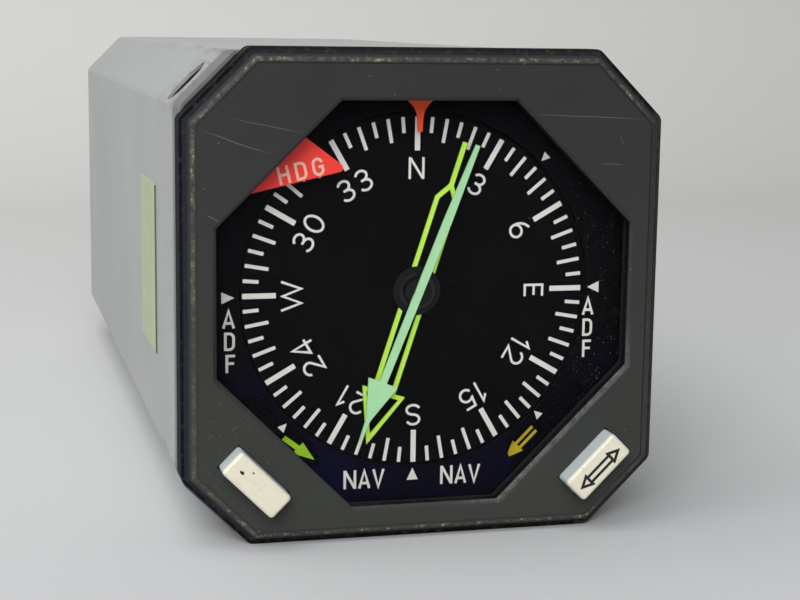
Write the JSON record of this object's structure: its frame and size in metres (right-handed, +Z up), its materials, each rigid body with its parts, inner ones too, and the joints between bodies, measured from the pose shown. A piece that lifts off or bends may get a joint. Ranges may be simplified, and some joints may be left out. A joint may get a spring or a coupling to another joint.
{
  "type": "radio magnetic indicator",
  "caption": "Panel instrument: turning compass card, single and double bearing pointers, heading flag, source push-buttons and a long chamfered housing with geared servo movement.",
  "frame": {"origin": "on the dial axis, in the plane of the bezel flange's rear face, where it meets the panel", "axes": "+X right and +Z up as seen by the pilot looking at the dial; +Y backwards into the panel along the housing"},
  "size_m": [0.0828, 0.2282, 0.0828],
  "materials": {
    "bezel_paint": "semi-matt dark grey paint, worn at the edges",
    "frame_paint": "semi-matt dark grey paint, worn to brown at the edges",
    "screw_steel": "plain steel",
    "window": "clear coated glass",
    "gasket": "matt black",
    "mask_black": "matt black with pale printed marks",
    "post_brass": "turned",
    "lamp": "clear bulb",
    "index_orange": "matt orange",
    "card_black": "matt black with pale graduations",
    "shaft_steel": "ground",
    "gear_brass": "machined",
    "bearing_steel": "polished",
    "pointer_lime": "matt yellow-green",
    "pointer_mint": "matt mint green",
    "plate_alloy": "machined plate",
    "pillar_alloy": "turned",
    "flag_red": "matt red with pale letters",
    "lever_alloy": "bare sheet",
    "meter_black": "moulded",
    "board_green": "lacquered board",
    "housing_grey": "light grey paint, scuffed",
    "connector_alloy": "olive plating",
    "insert_black": "matt",
    "pin_gold": "gold plated",
    "label_foil": "pale yellow-green anodised foil",
    "motor_steel": "plated",
    "synchro_alloy": "dull anodised",
    "pinion_steel": "hardened",
    "button_ivory": "ivory, slightly worn",
    "spring_steel": "drawn wire",
    "shutter_black": "matt black with a green and a yellow arrow"
  },
  "bodies": {
    "instrument": {"bezel_frame": "frame_paint", "bezel_screws": "screw_steel", "board_rails": "plate_alloy", "card_bearing": "bearing_steel", "card_motor": "motor_steel", "card_synchro": "synchro_alloy", "connector_insert": "insert_black", "connector_pins": "pin_gold", "data_plate": "label_foil", "dial_lamps": "lamp", "dial_mask": "mask_black", "double_bearing": "bearing_steel", "double_motor": "motor_steel", "double_synchro": "synchro_alloy", "flag_meter": "meter_black", "front_bezel": "bezel_paint", "front_plate": "plate_alloy", "housing_sleeve": "housing_grey", "left_spring": "spring_steel", "left_switch": "meter_black", "lower_board": "board_green", "lubber_pointer": "index_orange", "mask_posts": "post_brass", "middle_plate": "plate_alloy", "motor_plate": "plate_alloy", "plate_pillars": "pillar_alloy", "plate_screws": "screw_steel", "rear_connector": "connector_alloy", "rear_cover": "housing_grey", "rear_plate": "plate_alloy", "rear_screws": "screw_steel", "right_spring": "spring_steel", "right_switch": "meter_black", "single_bearing": "bearing_steel", "single_motor": "motor_steel", "single_synchro": "synchro_alloy", "upper_board": "board_green", "window_gasket": "gasket", "window_glass": "window"},
    "card": {"compass_card": "card_black", "card_tube": "shaft_steel", "card_gear": "gear_brass"},
    "card_pinion": {"card_pinion": "pinion_steel"},
    "card_synchro_rotor": {"card_synchro_gear": "gear_brass"},
    "double": {"double_pointer": "pointer_lime", "double_shaft": "shaft_steel", "double_gear": "gear_brass"},
    "double_pinion": {"double_pinion": "pinion_steel"},
    "double_synchro_rotor": {"double_synchro_gear": "gear_brass"},
    "single": {"single_pointer": "pointer_mint", "single_shaft": "shaft_steel", "single_gear": "gear_brass"},
    "single_pinion": {"single_pinion": "pinion_steel"},
    "single_synchro_rotor": {"single_synchro_gear": "gear_brass"},
    "flag": {"heading_flag": "flag_red", "flag_lever": "lever_alloy"},
    "left_button": {"left_button": "button_ivory"},
    "left_shutter": {"left_shutter": "shutter_black"},
    "right_button": {"right_button": "button_ivory"},
    "right_shutter": {"right_shutter": "shutter_black"}
  },
  "joints": [
    {"name": "card_turn", "type": "hinge", "parent": "instrument", "child": "card", "pos_m": [0, 0, 0], "axis": [0, 1, 0], "continuous": true},
    {"name": "double_pointer_turn", "type": "hinge", "parent": "instrument", "child": "double", "pos_m": [0, 0, 0], "axis": [0, 1, 0], "continuous": true},
    {"name": "single_pointer_turn", "type": "hinge", "parent": "instrument", "child": "single", "pos_m": [0, 0, 0], "axis": [0, 1, 0], "continuous": true},
    {"name": "card_pinion_turn", "type": "hinge", "parent": "instrument", "child": "card_pinion", "pos_m": [0, 0, 0.0168], "axis": [0, 1, 0], "continuous": true},
    {"name": "card_synchro_turn", "type": "hinge", "parent": "instrument", "child": "card_synchro_rotor", "pos_m": [0.01867, 0, 0.01867], "axis": [0, 1, 0], "continuous": true},
    {"name": "double_pinion_turn", "type": "hinge", "parent": "instrument", "child": "double_pinion", "pos_m": [0.0168, 0, 0], "axis": [0, 1, 0], "continuous": true},
    {"name": "double_synchro_turn", "type": "hinge", "parent": "instrument", "child": "double_synchro_rotor", "pos_m": [0.01867, 0, -0.01867], "axis": [0, 1, 0], "continuous": true},
    {"name": "single_pinion_turn", "type": "hinge", "parent": "instrument", "child": "single_pinion", "pos_m": [0, 0, -0.0168], "axis": [0, 1, 0], "continuous": true},
    {"name": "single_synchro_turn", "type": "hinge", "parent": "instrument", "child": "single_synchro_rotor", "pos_m": [-0.01867, 0, -0.01867], "axis": [0, 1, 0], "continuous": true},
    {"name": "flag_swing", "type": "hinge", "parent": "instrument", "child": "flag", "pos_m": [-0.033, 0, 0.009], "axis": [0, -1, 0], "range_deg": [0, 30], "stiffness_Nm_per_rad": 0.0005, "springref_deg": -5.73},
    {"name": "left_button_press", "type": "slide", "parent": "instrument", "child": "left_button", "axis": [0, 1, 0], "range_m": [0, 0.002], "stiffness_N_per_m": 800, "springref_m": -0.0008, "deforming": ["left_spring"]},
    {"name": "left_shutter_slide", "type": "slide", "parent": "instrument", "child": "left_shutter", "axis": [0.7071, 0, -0.7071], "range_m": [0, 0.008]},
    {"name": "right_button_press", "type": "slide", "parent": "instrument", "child": "right_button", "axis": [0, 1, 0], "range_m": [0, 0.002], "stiffness_N_per_m": 800, "springref_m": -0.0008, "deforming": ["right_spring"]},
    {"name": "right_shutter_slide", "type": "slide", "parent": "instrument", "child": "right_shutter", "axis": [-0.7071, 0, -0.7071], "range_m": [0, 0.008]}
  ],
  "couplings": [
    {"joint": "card_pinion_turn", "follows": "card_turn", "ratio": -3.6667},
    {"joint": "card_synchro_turn", "follows": "card_turn", "ratio": -1},
    {"joint": "double_pinion_turn", "follows": "double_pointer_turn", "ratio": -3.6667},
    {"joint": "double_synchro_turn", "follows": "double_pointer_turn", "ratio": -1},
    {"joint": "single_pinion_turn", "follows": "single_pointer_turn", "ratio": -3.6667},
    {"joint": "single_synchro_turn", "follows": "single_pointer_turn", "ratio": -1},
    {"joint": "left_shutter_slide", "follows": "left_button_press", "ratio": 4},
    {"joint": "right_shutter_slide", "follows": "right_button_press", "ratio": 4}
  ]
}
